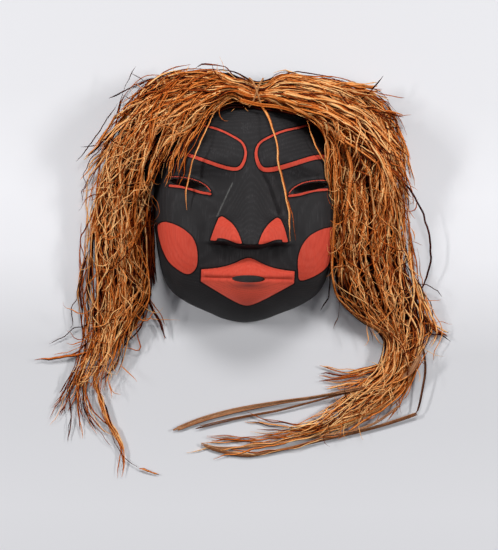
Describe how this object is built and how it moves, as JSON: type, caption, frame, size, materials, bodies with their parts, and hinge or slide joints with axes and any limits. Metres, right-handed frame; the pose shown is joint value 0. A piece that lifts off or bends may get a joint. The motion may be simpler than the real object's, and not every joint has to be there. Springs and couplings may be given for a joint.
{
  "type": "wild woman mask",
  "caption": "Carved, painted wooden face mask with pierced eyes and parted lips, and shredded bark hair lashed over the crown, lying on its back",
  "frame": {"origin": "middle of the whole object, hair included, on the surface that it lies on", "axes": "+X across the face to the viewer's right, +Y from chin to crown, +Z out of the face, square to the rear rim"},
  "size_m": [0.5618, 0.5512, 0.128],
  "materials": {
    "carved_cedar": "satin black paint with red paint on brows, eye rims, nostrils, cheeks and lips; bare gouged cedar behind",
    "shredded_bark": "dry, fibrous, red-orange to dark brown",
    "bark_twine": "dry twisted bark"
  },
  "bodies": {
    "root": {"mask": "carved_cedar", "bark_hair": "shredded_bark", "lashing": "bark_twine"}
  },
  "joints": []
}
